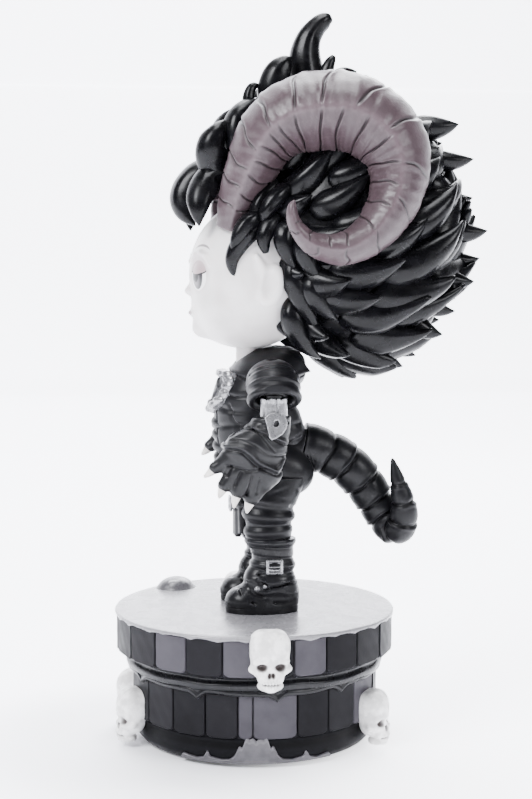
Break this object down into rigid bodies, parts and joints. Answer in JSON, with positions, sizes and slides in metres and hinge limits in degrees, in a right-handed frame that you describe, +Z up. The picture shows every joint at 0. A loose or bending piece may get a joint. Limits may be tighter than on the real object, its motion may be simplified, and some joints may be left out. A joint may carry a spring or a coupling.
{
  "type": "vinyl art toy figurine",
  "caption": "Chibi vinyl figurine with spiral horns, big moulded hair and a curled tail on a round skull-trimmed base; head, arms and tail swivel.",
  "frame": {"origin": "centre of the base's underside", "axes": "+Z up, the figure faces -Y, its left hand is towards +X"},
  "size_m": [0.0878, 0.1085, 0.2034],
  "materials": {
    "white_vinyl": "soft matte, faintly warm white",
    "black_gloss": "glossy black moulded hair",
    "black_satin": "satin black vinyl",
    "horn_mauve": "matte mauve grey, darker in the grooves",
    "glove_grey": "dark grey satin",
    "claw_ivory": "off-white",
    "silver_paint": "worn silver paint on vinyl",
    "plaque_dark": "mottled dark grey",
    "base_charcoal": "charcoal and purple-grey staves",
    "base_black": "black semi-gloss",
    "base_grey": "light grey semi-gloss with soft drips",
    "trim_grey": "mid grey",
    "bone_white": "white with a brown-grey wash",
    "steel": "plain steel screws"
  },
  "bodies": {
    "figure": {"base_lower_drum": "base_charcoal", "base_upper_drum": "base_charcoal", "base_waist": "base_black", "base_bottom_plate": "base_black", "base_top_cap": "base_grey", "base_dome": "base_grey", "foot_trim_left": "trim_grey", "foot_trim_right": "trim_grey", "base_screws": "steel", "boot_screws": "steel", "skull_upper_left": "bone_white", "skull_upper_right": "bone_white", "skull_front_left": "bone_white", "skull_front_right": "bone_white", "skull_rear_left": "bone_white", "skull_rear_right": "bone_white", "hips": "black_satin", "neck": "black_satin", "neck_plug": "black_satin", "torso": "black_satin", "belly_guard": "black_satin", "front_flap": "black_satin", "boot_left": "black_satin", "leg_left": "black_satin", "shoulder_left": "black_satin", "ankle_buckle_left": "silver_paint", "boot_right": "black_satin", "leg_right": "black_satin", "shoulder_right": "black_satin", "ankle_buckle_right": "silver_paint", "boot_studs": "silver_paint", "chest_plaque_frame": "silver_paint", "flap_buckle": "silver_paint", "chest_plaque_inset": "plaque_dark"},
    "head": {"head_shell": "white_vinyl", "horn_left": "horn_mauve", "horn_right": "horn_mauve", "hair_back": "black_gloss", "hair_fringe": "black_gloss", "hair_crest": "black_gloss", "hair_side_lock_left": "black_gloss", "hair_side_lock_right": "black_gloss"},
    "left_arm": {"arm_left": "black_satin", "arm_peg_left": "black_satin", "bracer_left": "silver_paint", "glove_left": "glove_grey", "claws_left": "claw_ivory", "cuff_plate_left": "silver_paint"},
    "right_arm": {"arm_right": "black_satin", "arm_peg_right": "black_satin", "bracer_right": "silver_paint", "glove_right": "glove_grey", "claws_right": "claw_ivory", "cuff_plate_right": "silver_paint"},
    "tail": {"tail": "black_satin", "tail_peg": "black_satin"}
  },
  "joints": [
    {"name": "head_turn", "type": "hinge", "parent": "figure", "child": "head", "pos_m": [0, -0.0015, 0.111], "axis": [0, 0, 1], "range_deg": [-22, 22]},
    {"name": "left_arm_swivel", "type": "hinge", "parent": "figure", "child": "left_arm", "pos_m": [0.0227, 0.003, 0.0998], "axis": [0.5, 0, -0.866], "range_deg": [-30, 30]},
    {"name": "right_arm_swivel", "type": "hinge", "parent": "figure", "child": "right_arm", "pos_m": [-0.0227, 0.003, 0.0998], "axis": [-0.5, 0, -0.866], "range_deg": [-30, 30]},
    {"name": "tail_swivel", "type": "hinge", "parent": "figure", "child": "tail", "pos_m": [0, 0.0136, 0.0824], "axis": [0, 0.9659, -0.2588], "range_deg": [-28, 28]}
  ]
}
